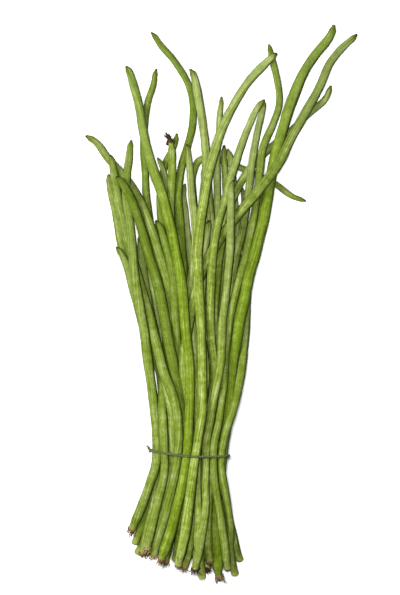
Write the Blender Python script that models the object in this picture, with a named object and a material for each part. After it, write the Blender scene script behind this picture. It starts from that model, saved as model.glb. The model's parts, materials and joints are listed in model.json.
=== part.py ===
"""A tied bunch of yardlong beans, lying on its side on a table.

The bunch lies along Y with its stalk ends towards -Y and its fanned tips towards +Y. Every pod is one
solid, from the stub of its stalk to its beaked tip, and a loop of twine holds them near the stalk ends.
Lengths in the layout are millimetres; the objects are made in metres, +Z up, with the origin on the
table under the middle of the bunch.
"""

import math
from typing import NamedTuple

import bmesh
import bpy
import numpy as np
from mathutils import Matrix, Vector

MM = 0.001

# The pods' cross-section and ends
POD_SIDES = 8
POD_POINTS = 22  # points along a pod, closer together where it bends
BEND_WEIGHT = 22.0  # how strongly a bend, in 1/mm, draws the points together
STUB_RADIUS = 1.2
CALYX_RADIUS = 3.2
NECK_RADIUS = 3.3
# Places along a pod, from its stalk end: stub, calyx, neck, and where the pod has its full thickness
STALK_END = ((0.0, STUB_RADIUS), (2.8, STUB_RADIUS), (3.8, CALYX_RADIUS), (6.5, NECK_RADIUS))
SHOULDER = 15.0
# Shares of the full thickness at distances from the tip
TIP_END = ((13.0, 0.87), (3.6, 0.64), (0.0, 0.22))
# A pod is a little thicker than its stated thickness along its body, pressed thinner where the twine
# holds it, and thinner towards its tip
GIRTH = (
    (0.0, 1.1), (0.08, 1.1), (0.14, 1.03), (0.19, 0.98), (0.29, 0.98), (0.4, 1.05), (0.6, 1.08), (0.8, 1.02),
    (0.92, 0.92), (1.0, 0.84),
)

# How the pods lie against each other, the table and the twine
GAP = 0.42  # free space kept between two pods
TABLE_SINK = 0.15  # how far a pod's underside is pressed flat on the table
ROWS = 5
ROW_STEP, LEVEL_STEP = 9.5, 5.5  # height of a row, and of a level in the fan, before the pods settle
ORDER_PULL = 3.5  # how much the starting order counts when two pods' centre lines nearly meet
SPREAD_FROM, SPREAD_TO = 40.0, 130.0  # where the tied rows change into the crossing order of the fan
BUNDLE_HALF_HEIGHT = 29.5  # at the twine
BUNDLE_ROUNDNESS = 2.4  # exponent of the oval that the twine draws the pods into
# The bunch's waist: place along it, its middle and half width there, and how freely it may rise
WAIST = (
    (-65, -8, 52, 1.6), (-45, -5, 46.5, 1.4), (-25, -4, 40.5, 1.15), (0, -0.5, 36.8, 1.0),
    (25, 1.5, 39.5, 1.1), (55, 4.5, 46, 1.4), (105, 5.5, 54, 2.0), (155, 1, 61, 3.0), (205, -3, 70, 4.0),
)
LIFT_REACH = 70.0  # length to either side of the twine over which the pods come down to the table

# The twine
TWINE_RADIUS = 1.25
TWINE_SIDES = 6
TWINE_POINTS = 44
TWINE_GAP = 0.55
KNOT_RADIUS = 2.3
KNOT_SHIFT = (-0.7, 0.0, 0.2)
TAIL_RADIUS = 1.0
TAILS = (((0, 0, 0), (-2.6, 3.0, 1.2), (-4.0, 6.5, 1.4)), ((0, 0, 0), (-1.8, -1.2, -3.5), (-2.0, -2.6, -7.5)))

POD_COLOURS = {
    "pale": (0.42, 0.50, 0.19, 1.0),
    "leaf": (0.30, 0.42, 0.10, 1.0),
    "bright": (0.33, 0.46, 0.06, 1.0),
}
TWINE_COLOUR = (0.17, 0.17, 0.10, 1.0)


class Pod(NamedTuple):
    """A pod's thickness, its row at the twine (1 on top), its place in the fan's crossing order (high is on
    top), its colour, and its route from stalk end to tip: x across and y along, from the twine's middle."""

    thickness: float
    row: float
    level: float
    colour: str
    route: tuple


PODS = (
    Pod(10.0, 1, 19, "bright", (
        (-30, -108), (-19, -75), (-6, -25), (-2, 0), (2, 60), (-3, 130), (-12, 193), (-24, 247), (-43, 307),
        (-55, 365), (-63, 389))),
    Pod(9.2, 1, 19, "leaf", (
        (-12, -111), (-4, -75), (2, -30), (6, 0), (11, 55), (11, 115), (9, 170), (8, 205), (13, 250),
        (22, 297), (38, 338), (60, 375), (76, 391), (87, 401))),
    Pod(8.2, 1, 20, "pale", (
        (4, -117), (11, -75), (16, -30), (19, 0), (24, 55), (30, 110), (37, 165), (40, 215), (41, 274))),
    Pod(9.6, 3, 18, "leaf", (
        (-19, -105), (-10, -65), (-3, -25), (-1, 0), (1, 55), (3, 110), (7, 155), (16, 189), (32, 219),
        (59, 253), (84, 285), (104, 322), (125, 359), (142, 394), (155, 409), (168, 419))),
    Pod(10.2, 2, 17, "bright", (
        (30, -126), (26, -100), (24, -70), (25, -40), (29, 0), (34, 40), (42, 83), (48, 117), (55, 155),
        (65, 195), (74, 235), (81, 280), (90, 317), (105, 363), (122, 395), (139, 417), (145, 429))),
    Pod(7.6, 1, 10, "pale", (
        (45, -122), (40, -98), (41, -73), (37, -35), (34, 0), (39, 35), (46, 65), (53, 97), (56, 135),
        (58, 165), (63, 200), (69, 240), (73, 277))),
    Pod(8.0, 1, 15.5, "pale", (
        (37, -115), (34, -95), (30, -65), (27, -25), (27, 0), (33, 55), (38, 105), (45, 155), (53, 185),
        (59, 212), (64, 245), (66, 280), (70, 305), (79, 325), (87, 342), (88, 357), (86, 380), (78, 410))),
    Pod(8.0, 2, 15, "leaf", (
        (20, -110), (19, -80), (21, -45), (22, 0), (27, 45), (34, 95), (41, 135), (46, 183), (53, 220),
        (60, 265), (64, 305), (69, 335), (73, 356))),
    Pod(8.2, 2, 19, "leaf", (
        (-6, -116), (0, -95), (5, -65), (10, -30), (13, 0), (17, 55), (19, 110), (20, 150), (24, 199),
        (29, 230), (39, 269), (47, 296), (56, 321), (66, 342), (75, 354))),
    Pod(8.4, 2, 15, "pale", (
        (13, -124), (9, -100), (7, -70), (5, -30), (4, 0), (6, 55), (4, 110), (2, 150), (3, 175), (7, 205),
        (7, 225), (3, 252), (-1, 285), (-3, 310))),
    Pod(9.4, 3, 13, "pale", (
        (17, -119), (15, -85), (13, -45), (12, 0), (13, 55), (17, 110), (21, 155), (23, 195), (22, 230),
        (19, 255), (17, 285), (14, 315), (9, 347), (4, 375), (1, 386))),
    Pod(7.8, 3, 14, "leaf", (
        (9, -111), (13, -70), (17, -30), (19, 0), (20, 45), (23, 95), (26, 140), (29, 175), (33, 210),
        (36, 245), (37, 268), (35, 290), (33, 309))),
    Pod(7.4, 4, 11, "leaf", (
        (33, -100), (29, -60), (26, 0), (29, 45), (34, 95), (40, 140), (45, 180), (48, 215), (46, 243),
        (42, 270), (39, 290), (37, 305))),
    Pod(7.2, 4, 12, "pale", (
        (0, -105), (6, -50), (9, 0), (13, 45), (17, 95), (21, 145), (23, 185), (25, 220), (27, 250),
        (29, 280), (31, 315), (31, 343), (32, 358))),
    Pod(7.8, 3, 14.3, "leaf", (
        (24, -105), (20, -50), (26, 0), (22, 55), (19, 105), (21, 155), (26, 195), (32, 225), (40, 250),
        (53, 273), (72, 296), (93, 315), (112, 333), (128, 349), (138, 359), (141, 369))),
    Pod(7.0, 5, 4, "pale", (
        (-7, -100), (2, -50), (5, 0), (8, 55), (9, 115), (7, 175), (5, 225), (3, 262), (3, 280), (7, 292),
        (17, 298), (38, 294), (57, 286), (76, 278), (94, 266), (106, 257), (116, 254))),
    Pod(8.0, 4, 10, "leaf", (
        (-20, -90), (-8, -45), (-1, 0), (2, 50), (1, 100), (-2, 145), (-6, 185), (-11, 220), (-15, 250),
        (-14, 272), (-8, 292), (0, 315), (5, 338), (4, 355), (-2, 374), (-16, 395), (-32, 413), (-38, 423))),
    Pod(7.6, 4, 12, "pale", (
        (-21, 317), (-18, 300), (-18, 270), (-18, 240), (-15, 205), (-10, 165), (-6, 115), (-5, 55),
        (-9, 0), (-10, -40), (-15, -85))),
    Pod(7.6, 4, 11, "leaf", (
        (-4, -105), (1, -50), (3, 0), (4, 35), (5, 85), (3, 135), (0, 175), (-3, 210), (-6, 240),
        (-8, 260), (-7, 271))),
    Pod(7.6, 5, 9, "pale", (
        (-35, -90), (-20, -45), (-14, 0), (-11, 70), (-14, 120), (-19, 160), (-24, 195), (-28, 225),
        (-28, 250), (-24, 275), (-18, 297), (-12, 312), (-12, 321))),
    Pod(8.2, 2, 14, "pale", (
        (-54, -101), (-43, -85), (-33, -60), (-26, -30), (-22, 0), (-18, 35), (-14, 75), (-11, 115),
        (-13, 150), (-17, 179), (-23, 203), (-29, 223), (-34, 234))),
    Pod(7.8, 3, 9, "leaf", (
        (-55, -91), (-50, -80), (-40, -50), (-31, -20), (-28, 0), (-22, 45), (-20, 85), (-20, 125),
        (-26, 165), (-34, 200), (-42, 230), (-47, 255), (-48, 280), (-48, 315), (-45, 343), (-41, 360),
        (-36, 375), (-35, 386))),
    Pod(9.2, 3, 11, "pale", (
        (-18, -105), (-14, -70), (-11, -30), (-11, 0), (-9, 45), (-10, 85), (-13, 120), (-17, 148),
        (-23, 175), (-30, 199), (-37, 225), (-43, 243), (-51, 259), (-62, 274), (-75, 287), (-87, 301),
        (-97, 314), (-105, 319))),
    Pod(9.6, 2, 17, "leaf", (
        (-23, -112), (-16, -65), (-9, -25), (-6, 0), (-7, 45), (-11, 75), (-16, 102), (-23, 130),
        (-28, 155), (-35, 185), (-44, 212), (-53, 237), (-60, 254), (-67, 268), (-73, 278))),
    Pod(8.4, 1, 16, "pale", (
        (-59, -79), (-50, -58), (-42, -37), (-36, -20), (-31, 0), (-33, 30), (-36, 55), (-39, 75),
        (-41, 95), (-43, 110), (-45, 127), (-48, 140), (-52, 158), (-55, 175), (-58, 200), (-60, 227),
        (-63, 255), (-62, 277), (-60, 303), (-60, 314))),
    Pod(8.8, 1, 13, "pale", (
        (-37, -103), (-30, -85), (-17, -52), (-11, -20), (-10, 0), (-13, 40), (-19, 70), (-28, 95),
        (-38, 125), (-47, 155), (-54, 175), (-61, 199), (-69, 230), (-74, 260), (-77, 285), (-79, 299))),
    Pod(8.4, 1, 12, "pale", (
        (-44, -101), (-35, -83), (-27, -65), (-21, -40), (-19, 0), (-20, 35), (-24, 63), (-30, 90),
        (-37, 120), (-43, 150), (-47, 180), (-49, 205), (-49, 221))),
    Pod(8.4, 1, 12, "pale", (
        (-44, -97), (-39, -80), (-35, -65), (-30, -45), (-24, -20), (-22, 0), (-24, 25), (-28, 55),
        (-32, 80), (-38, 105), (-45, 130), (-51, 153), (-57, 175), (-62, 192), (-67, 212), (-71, 235),
        (-76, 255), (-80, 270), (-82, 280))),
    Pod(8.0, 2, 14, "pale", (
        (-47, -103), (-42, -80), (-34, -45), (-29, -22), (-26, 0), (-29, 20), (-33, 50), (-37, 80),
        (-42, 107), (-47, 130), (-52, 150), (-57, 168), (-62, 182), (-69, 193), (-75, 202), (-78, 208))),
    Pod(7.0, 4, 9, "leaf", (
        (-14, -105), (-8, -50), (-5, 0), (2, 55), (4, 105), (2, 150), (-3, 185), (-9, 215), (-16, 245),
        (-23, 267), (-29, 287), (-33, 297))),
    Pod(7.6, 5, 8, "leaf", (
        (15, -100), (12, -50), (12, 0), (9, 35), (8, 85), (6, 135), (6, 180), (8, 220), (10, 250),
        (13, 273), (13, 287))),
    Pod(9.4, 3, 17, "pale", (
        (6, -105), (7, -50), (7, 0), (10, 45), (10, 95), (10, 145), (12, 185), (15, 207), (18, 223),
        (19, 234))),
    Pod(7.4, 5, 7, "leaf", (
        (-9, -113), (-6, -50), (-4, 0), (-3, 55), (-2, 105), (-4, 155), (-8, 195), (-11, 225), (-12, 243))),
    Pod(7.8, 3, 9, "leaf", (
        (49, -108), (41, -90), (34, -60), (32, 0), (33, 60), (38, 110), (43, 155), (48, 193), (51, 225),
        (53, 250), (54, 267))),
    Pod(7.8, 4, 8, "leaf", (
        (-47, -88), (-30, -45), (-21, 0), (-21, 45), (-24, 95), (-30, 135), (-36, 165), (-40, 190),
        (-41, 207))),
    Pod(7.6, 5, 6, "leaf", (
        (-28, -96), (-18, -45), (-12, 0), (-13, 60), (-18, 110), (-20, 160), (-24, 190))),
    Pod(7.8, 5, 6, "leaf", (
        (18, -108), (16, -50), (15, 0), (17, 60), (24, 110), (31, 160), (36, 198))),
    Pod(7.6, 5, 5, "leaf", (
        (31, -95), (26, -45), (21, 0), (26, 60), (33, 110), (42, 160), (47, 205), (50, 222))),
)


def spline(points, count):
    """A smooth curve through the points (centripetal Catmull-Rom), as count points for each span."""
    p = np.array(points, float)
    p = np.vstack((2 * p[0] - p[1], p, 2 * p[-1] - p[-2]))
    share = np.linspace(0.0, 1.0, count, endpoint=False)[:, None]
    pieces = []
    for a, b, c, d in zip(p, p[1:], p[2:], p[3:]):
        t0 = 0.0
        t1, t2, t3 = np.cumsum([math.dist(u, v) ** 0.5 for u, v in ((a, b), (b, c), (c, d))])
        t = t1 + share * (t2 - t1)
        ab = a + (b - a) * (t - t0) / (t1 - t0)
        bc = b + (c - b) * (t - t1) / (t2 - t1)
        cd = c + (d - c) * (t - t2) / (t3 - t2)
        abc = ab + (bc - ab) * (t - t0) / (t2 - t0)
        bcd = bc + (cd - bc) * (t - t1) / (t3 - t1)
        pieces.append(abc + (bcd - abc) * (t - t1) / (t2 - t1))
    return np.vstack((*pieces, p[-2:-1]))


def spaced(curve, weight):
    """POD_POINTS points along a curve, closer together where it bends; the second one and the last but
    one are where the pod's ends begin."""
    step = np.diff(curve, axis=0)
    length = np.sqrt((step**2).sum(1))
    way = step / length[:, None]
    turn = np.zeros(len(length))
    turn[1:] = np.sqrt((np.diff(way, axis=0) ** 2).sum(1)) / length[1:]
    turn = np.convolve(turn, np.ones(15) / 15, "same")
    plain = np.concatenate(([0.0], np.cumsum(length)))
    weighted = np.concatenate(([0.0], np.cumsum(length * (1 + weight * turn))))
    first, last = np.interp((SHOULDER, plain[-1] - TIP_END[0][0]), plain, weighted)
    wanted = np.concatenate(([0.0], np.linspace(first, last, POD_POINTS - 2), [weighted[-1]]))
    return np.stack([np.interp(wanted, weighted, curve[:, k]) for k in range(curve.shape[1])], axis=1)


def smoothstep(low, high, value):
    t = np.clip((value - low) / (high - low), 0.0, 1.0)
    return t * t * (3 - 2 * t)


def distances(line):
    """Distance along a line of points to each of them."""
    return np.concatenate(([0.0], np.cumsum(np.sqrt((np.diff(line, axis=0) ** 2).sum(1)))))


def body_radii(pod, line):
    """A pod's radius at the points of its line, leaving its ends aside."""
    along = distances(line)
    return pod.thickness / 2 * np.interp(along / along[-1], *np.array(GIRTH).T)


def contact_radii(pod, line):
    """Radii at a pod's points that keep its calyx and its beak free too."""
    radii = body_radii(pod, line)
    radii[0] = CALYX_RADIUS
    radii[-2:] *= TIP_END[0][1], TIP_END[1][1]
    return radii


def rough_layout():
    """Where the pods' points start: on their routes, each row and level well above the one below it."""
    flat = np.stack([spaced(spline(pod.route, 24), BEND_WEIGHT) for pod in PODS])
    row = np.array([[(ROWS - pod.row) * ROW_STEP] for pod in PODS])
    level = np.array([[pod.level * LEVEL_STEP] for pod in PODS])
    share = smoothstep(SPREAD_FROM, SPREAD_TO, flat[:, :, 1])
    height = row * (1 - share) + level * share + pods_apart()[:, None]
    return np.dstack((flat, height))


def pods_apart():
    """A slight difference in height for each pod, so that no two start at the same place."""
    return 0.013 * np.arange(len(PODS)) + 6.0


class Contacts:
    """Pairs of a point and a stretch, and of two stretches, of different pods that may touch."""

    def __init__(self, points, radii, start, order_pull):
        pods, count = points.shape[:2]
        self.radii = radii.reshape(-1)
        self.start = start.reshape(-1)
        self.order_pull = order_pull
        index = np.arange(pods * count).reshape(pods, count)
        starts = index[:, :-1].reshape(-1)
        ends = starts + 1
        p = points.reshape(-1, 3)
        middle = (p[starts] + p[ends]) / 2
        half = np.sqrt(((p[starts] - p[ends]) ** 2).sum(1)) / 2
        owner = starts // count
        reach = half[:, None] + half[None, :] + 12.0
        apart = np.sqrt(((middle[:, None] - middle[None]) ** 2).sum(2))
        a, b = np.nonzero((apart < reach) & (owner[:, None] < owner[None, :]))
        self.pairs = starts[a], ends[a], starts[b], ends[b]
        one = np.concatenate((starts[a], ends[a], starts[b], ends[b]))
        low = np.concatenate((starts[b], starts[b], starts[a], starts[a]))
        both = np.unique(np.stack((one, low), axis=1), axis=0)
        self.points = both[:, 0], both[:, 1], both[:, 1] + 1

    def push(self, p):
        """Moves every two pods that are closer than GAP apart, and returns how deep the worst pair was."""
        moved = np.zeros_like(p)
        touched = np.zeros(len(p))
        worst = 0.0
        v, a, b = self.points
        along = p[b] - p[a]
        t = ((p[v] - p[a]) * along).sum(1) / (along**2).sum(1)
        t = np.clip(t, 0.0, 1.0)
        zero = np.zeros_like(t)
        worst = max(worst, self.part(p, moved, touched, (v, v, a, b), (zero, t)))
        a1, b1, a2, b2 = self.pairs
        d1, d2, r = p[b1] - p[a1], p[b2] - p[a2], p[a1] - p[a2]
        a, e, f = (d1**2).sum(1), (d2**2).sum(1), (d2 * r).sum(1)
        b, c = (d1 * d2).sum(1), (d1 * r).sum(1)
        below = a * e - b * b
        s = np.clip((b * f - c * e) / np.maximum(below, 1e-9), 0.0, 1.0)
        t = np.clip((b * s + f) / e, 0.0, 1.0)
        s = np.clip((b * t - c) / a, 0.0, 1.0)
        worst = max(worst, self.part(p, moved, touched, self.pairs, (s, t)))
        p += 1.4 * moved / np.maximum(touched, 1.0)[:, None]
        return worst

    def part(self, p, moved, touched, ends, shares):
        """Adds up the moves that part the touching pairs, and returns the deepest overlap."""
        a1, b1, a2, b2 = ends
        s, t = shares
        first = p[a1] + (p[b1] - p[a1]) * s[:, None]
        second = p[a2] + (p[b2] - p[a2]) * t[:, None]
        apart = first - second
        distance = np.sqrt((apart**2).sum(1))
        r = self.radii
        wanted = r[a1] * (1 - s) + r[b1] * s + r[a2] * (1 - t) + r[b2] * t + GAP
        near = distance < wanted
        if not near.any():
            return 0.0
        s, t, depth = s[near], t[near], (wanted - distance)[near]
        way = apart[near]
        way[:, 2] += self.order_pull * np.sign(self.start[a1] - self.start[a2])[near]
        way /= np.maximum(np.sqrt((way**2).sum(1)), 1e-6)[:, None]
        weight = (1 - s) ** 2 + s**2 + (1 - t) ** 2 + t**2
        push = (depth / weight)[:, None] * way
        for which, share in ((a1, 1 - s), (b1, s), (a2, t - 1), (b2, -t)):
            np.add.at(moved, which[near], push * share[:, None])
            np.add.at(touched, which[near], (np.abs(share) > 0.05).astype(float))
        return float(depth.max())


def stiffen(change, strength):
    """Evens out how far a pod's points have left their route, as a stiff pod would."""
    first = 2 * change[:, :1] - change[:, 1:2]
    last = 2 * change[:, -1:] - change[:, -2:-1]
    wide = np.concatenate((2 * first - change[:, :1], first, change, last, 2 * last - change[:, -1:]), axis=1)
    bend = wide[:, :-4] - 4 * wide[:, 1:-3] + 6 * wide[:, 2:-2] - 4 * wide[:, 3:-1] + wide[:, 4:]
    return change - strength * bend / 16


def draw_in(points, radii, squeeze):
    """The twine's pull: pods near it stay inside an oval that stands just clear of the table."""
    y = points[:, :, 1]
    place, centre, width, rise = np.array(WAIST, float).T
    near = (y > place[0]) & (y < place[-1])
    middle = TWINE_RADIUS * 2 + TWINE_GAP + BUNDLE_HALF_HEIGHT
    x = points[:, :, 0] - np.interp(y, place, centre)
    z = points[:, :, 2] - middle
    wide = np.interp(y, place, width) - radii
    high = (BUNDLE_HALF_HEIGHT - radii) * np.interp(y, place, rise)
    n = BUNDLE_ROUNDNESS
    out = ((np.abs(x) / wide) ** n + (np.abs(z) / high) ** n) ** (1 / n)
    scale = np.where(near & (out > 1), 1 - squeeze * (1 - 1 / np.maximum(out, 1)), 1.0)
    points[:, :, 0] += x * (scale - 1)
    points[:, :, 2] = middle + z * scale


def floor_under(points, radii):
    """How high the pods' centre lines must be: on the table, and on the twine that runs under them."""
    lift = (TWINE_RADIUS * 2 + TWINE_GAP + 1.1) * np.maximum(1 - np.abs(points[:, :, 1]) / LIFT_REACH, 0.0)
    return radii * math.cos(math.pi / POD_SIDES) - TABLE_SINK + lift


def settled():
    """The pods' centre lines after they have come to lie on the table and on each other."""
    goal = rough_layout()
    points = goal.copy()
    radii = np.stack([contact_radii(pod, line) for pod, line in zip(PODS, goal)])
    hold = np.array([[[0.10 if pod.level >= 13 or pod.row == 1 else 0.05]] for pod in PODS])
    phases = (
        (400, 0.3, 1.0, 0.5, 0.4),
        (280, 0.15, 0.7, 0.4, 0.5),
        (260, 0.05, 0.3, 0.3, 0.6),
        (240, 0.0, 0.04, 0.06, 0.6),
        (200, 0.0, 0.0, 0.0, 0.3),
        (220, 0.0, 0.0, 0.0, 0.0),
    )
    contacts = None
    for rounds, fall, pull, strength, squeeze in phases:
        for turn in range(rounds):
            if turn % 6 == 0:
                contacts = Contacts(points, radii, goal[:, :, 2], ORDER_PULL if fall else 0.0)
            points[:, :, 2] -= fall
            points[:, :, :2] += pull * hold * (goal[:, :, :2] - points[:, :, :2])
            if strength:
                change = points.copy()
                change[:, :, :2] -= goal[:, :, :2]
                change = stiffen(stiffen(change, strength), strength)
                change[:, :, :2] += goal[:, :, :2]
                points = change
            if squeeze:
                draw_in(points, radii, squeeze)
            flat = points.reshape(-1, 3)
            worst = contacts.push(flat)
            points[:, :, 2] = np.maximum(points[:, :, 2], floor_under(points, radii))
            points = np.round(points, 7)
        print("settling", rounds, "rounds: deepest overlap", round(worst, 3))
    return points, radii


def material(name, colour, roughness):
    made = bpy.data.materials.new(name)
    made.use_nodes = True
    shader = made.node_tree.nodes["Principled BSDF"]
    shader.inputs["Base Color"].default_value = colour
    shader.inputs["Roughness"].default_value = roughness
    shader.inputs["Metallic"].default_value = 0.0
    made.diffuse_color = colour
    return made


def frames(line):
    """A matrix at each point of a line: +Z along it, and +Y as near upright as it can be."""
    made = []
    for k, point in enumerate(line):
        before = Vector(line[max(k - 1, 0)])
        after = Vector(line[min(k + 1, len(line) - 1)])
        along = (after - before).normalized()
        side = along.cross(Vector((0, 0, 1))).normalized()
        turn = Matrix((-side, side.cross(along), along)).transposed()
        made.append(Matrix.Translation(Vector(point)) @ turn.to_4x4())
    return made


def object_from(bm, name, finish):
    bmesh.ops.recalc_face_normals(bm, faces=bm.faces)
    mesh = bpy.data.meshes.new(name)
    bm.to_mesh(mesh)
    bm.free()
    mesh.shade_smooth()
    mesh.materials.append(finish)
    made = bpy.data.objects.new(name, mesh)
    bpy.context.scene.collection.objects.link(made)
    return made


def tube(name, line, radii, sides, finish, start=0.0):
    """A closed tube with this many flat sides, one of them down, through rings at the line's points."""
    bm = bmesh.new()
    turned = Matrix.Rotation(start, 4, "Z")
    places = [frame @ Matrix.Scale(r, 4) @ turned for frame, r in zip(frames(line), radii)]
    ring = bmesh.ops.create_circle(bm, cap_ends=True, segments=sides, radius=1.0)["verts"]
    bmesh.ops.transform(bm, matrix=places[0], verts=ring)
    edges = list(bm.edges)
    for before, here in zip(places, places[1:]):
        made = bmesh.ops.extrude_edge_only(bm, edges=edges)["geom"]
        ring = [item for item in made if isinstance(item, bmesh.types.BMVert)]
        new_edges = (item for item in made if isinstance(item, bmesh.types.BMEdge))
        edges = [edge for edge in new_edges if all(v in ring for v in edge.verts)]
        bmesh.ops.transform(bm, matrix=here @ before.inverted(), verts=ring)
    bmesh.ops.contextual_create(bm, geom=edges)
    return object_from(bm, name, finish)


def pod_rings(pod, line):
    """The places and radii of a pod's rings: the line's points, and those that shape its two ends."""
    along = distances(line)
    total = along[-1]
    share = along[1] / SHOULDER
    full = body_radii(pod, line)
    stalk = [(place * share, size) for place, size in STALK_END]
    body = list(zip(along[1:-2], full[1:-2]))
    tip = [(along[-2], full[-2] * TIP_END[0][1])]
    tip += [(total - back, full[-1] * size) for back, size in TIP_END[1:]]
    places, radii = np.array(stalk + body + tip).T
    rings = np.stack([np.interp(places, along, line[:, k]) for k in range(3)], axis=1)
    return rings, radii


def make_pod(name, pod, line, finish):
    rings, radii = pod_rings(pod, line)
    made = tube(name, rings * MM, radii * MM, POD_SIDES, finish, start=math.pi / POD_SIDES)
    for vertex in made.data.vertices:
        vertex.co.z = max(vertex.co.z, 0.0)
    return made


def twine_y(x):
    """How far along the bunch the twine lies, which slants and sags a little across it."""
    return -1.0 - 0.068 * x + 0.0018 * x * x


def crossing(line, radii):
    """Where a pod passes the twine: x, z and radius there."""
    order = np.argsort(line[:, 1])
    x, y, z = line[order].T
    place = 0.0
    for _ in range(4):
        across = np.interp(place, y, x)
        place = twine_y(across)
    return np.interp(place, y, x), np.interp(place, y, z), np.interp(place, y, radii[order])


def turns_right(a, b, c):
    return (b[0] - a[0]) * (c[1] - b[1]) <= (b[1] - a[1]) * (c[0] - b[0])


def hull(points):
    """The convex outline of points in a plane, counter-clockwise."""
    points = sorted(map(tuple, points))
    sides = []
    for run in (points, points[::-1]):
        side = []
        for p in run:
            while len(side) > 1 and turns_right(side[-2], side[-1], p):
                side.pop()
            side.append(p)
        sides += side[:-1]
    return np.array(sides)


def twine_route(lines, radii):
    """The closed line of the twine, drawn tight over the outermost pods."""
    clear = TWINE_GAP + TWINE_RADIUS
    turn = np.linspace(0.0, 2 * math.pi, 48, endpoint=False)
    rim = []
    for line, r in zip(lines, radii):
        x, z, size = crossing(line, r)
        rim += [(x + (size + clear) * math.cos(a), z + (size + clear) * math.sin(a)) for a in turn]
    outline = hull(rim)
    outline = np.vstack((outline, outline[:1]))
    along = distances(outline)
    wanted = np.linspace(0.0, along[-1], TWINE_POINTS, endpoint=False)
    x, z = (np.interp(wanted, along, outline[:, k]) for k in range(2))
    return np.stack((x, twine_y(x), z), axis=1)


def ring_tube(name, line, radius, sides, finish):
    """A closed ring of twine: a tube whose last section joins its first."""
    bm = bmesh.new()
    count = len(line)
    rounds = []
    for k in range(count):
        along = (Vector(line[(k + 1) % count]) - Vector(line[k - 1])).normalized()
        outward = along.cross(Vector((0, 1, 0))).normalized()
        turn = Matrix((outward, along.cross(outward), along)).transposed().to_4x4()
        place = Matrix.Translation(Vector(line[k])) @ turn
        rounds.append(bmesh.ops.create_circle(bm, segments=sides, radius=radius, matrix=place)["verts"])
    for first, second in zip(rounds, rounds[1:] + rounds[:1]):
        edges = [e for ring in (first, second) for e in bm.edges if e.verts[0] in ring and e.verts[1] in ring]
        bmesh.ops.bridge_loops(bm, edges=edges)
    return object_from(bm, name, finish)


def joined(name, shapes):
    """One closed solid out of shapes that run into each other."""
    whole, *others = shapes
    for other in others:
        union = whole.modifiers.new("join", "BOOLEAN")
        union.operation = "UNION"
        union.solver = "EXACT"
        union.object = other
    ready = whole.evaluated_get(bpy.context.evaluated_depsgraph_get())
    mesh = bpy.data.meshes.new_from_object(ready)
    for shape in shapes:
        bpy.data.objects.remove(shape)
    mesh.name = name
    mesh.shade_smooth()
    made = bpy.data.objects.new(name, mesh)
    bpy.context.scene.collection.objects.link(made)
    return made


def make_twine(lines, radii, finish):
    """The loop round the pods, with its knot on the left and two cut ends."""
    route = twine_route(lines, radii)
    loop = ring_tube("loop", route * MM, TWINE_RADIUS * MM, TWINE_SIDES, finish)
    knot = route[np.argmin(route[:, 0] - 0.25 * route[:, 2])]
    knot = knot + np.array(KNOT_SHIFT)
    bm = bmesh.new()
    bmesh.ops.create_icosphere(bm, subdivisions=2, radius=KNOT_RADIUS * MM)
    bmesh.ops.translate(bm, vec=Vector(knot * MM), verts=bm.verts)
    shapes = [loop, object_from(bm, "knot", finish)]
    for number, route in enumerate(TAILS):
        line = knot + np.array(route, float)
        thin = np.full(len(line), TAIL_RADIUS * MM)
        shapes.append(tube(f"tail_{number}", line * MM, thin, TWINE_SIDES, finish))
    return joined("twine", shapes)


def clear_scene():
    for obj in list(bpy.data.objects):
        bpy.data.objects.remove(obj)


def main():
    clear_scene()
    lines, radii = settled()
    finishes = {name: material("pod_" + name, colour, 0.5) for name, colour in POD_COLOURS.items()}
    made = []
    for number, (pod, line) in enumerate(zip(PODS, lines), 1):
        made.append(make_pod(f"pod_{number:02d}", pod, line, finishes[pod.colour]))
    made.append(make_twine(lines, radii, material("twine", TWINE_COLOUR, 0.9)))
    corners = np.array([made_object.bound_box[k] for made_object in made for k in (0, 6)])
    middle = (corners.min(0) + corners.max(0)) / 2
    for obj in made:
        obj.data.transform(Matrix.Translation((-middle[0], -middle[1], 0.0)))


main()
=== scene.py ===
"""A tied bunch of yardlong beans, lying on a pale table and seen from straight above.

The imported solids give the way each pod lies. Each pod is grown again along that line as one skin, from the
dried calyx at its stalk end to its darkened beak, and the twine is laid round the bunch again as two plies.
"""

import json
import math
import random

import bmesh
import bpy
import numpy as np
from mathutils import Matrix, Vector


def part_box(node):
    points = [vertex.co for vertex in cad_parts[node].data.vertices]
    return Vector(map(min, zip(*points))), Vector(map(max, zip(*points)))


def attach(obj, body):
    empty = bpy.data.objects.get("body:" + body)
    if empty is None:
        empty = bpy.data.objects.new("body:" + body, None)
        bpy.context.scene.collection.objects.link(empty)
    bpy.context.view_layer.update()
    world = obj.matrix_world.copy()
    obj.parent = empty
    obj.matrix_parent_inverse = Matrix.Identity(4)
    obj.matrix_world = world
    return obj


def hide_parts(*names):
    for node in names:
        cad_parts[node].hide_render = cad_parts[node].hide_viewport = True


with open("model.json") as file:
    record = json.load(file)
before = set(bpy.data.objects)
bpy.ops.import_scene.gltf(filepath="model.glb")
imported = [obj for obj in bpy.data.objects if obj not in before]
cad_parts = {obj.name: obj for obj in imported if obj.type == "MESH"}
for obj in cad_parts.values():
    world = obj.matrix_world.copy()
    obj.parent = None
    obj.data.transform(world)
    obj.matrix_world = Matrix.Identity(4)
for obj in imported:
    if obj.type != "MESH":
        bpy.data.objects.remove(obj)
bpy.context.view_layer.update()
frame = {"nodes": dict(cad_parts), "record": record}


# The camera
# It hangs high over the table and looks straight down, so that the bunch stands upright in the picture as
# in the photograph. Just above the table, one pixel is one millimetre.

PICTURE = (400, 595)  # pixels
BUNCH_IN_PICTURE = (222.0, 302.8)  # the pixel over the middle of the bunch
MM_PER_PIXEL = 1.0
SCALE_HEIGHT = 0.008  # the height at which that scale holds
CAMERA_HEIGHT = 6.0
SENSOR_HEIGHT = 24.0

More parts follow.
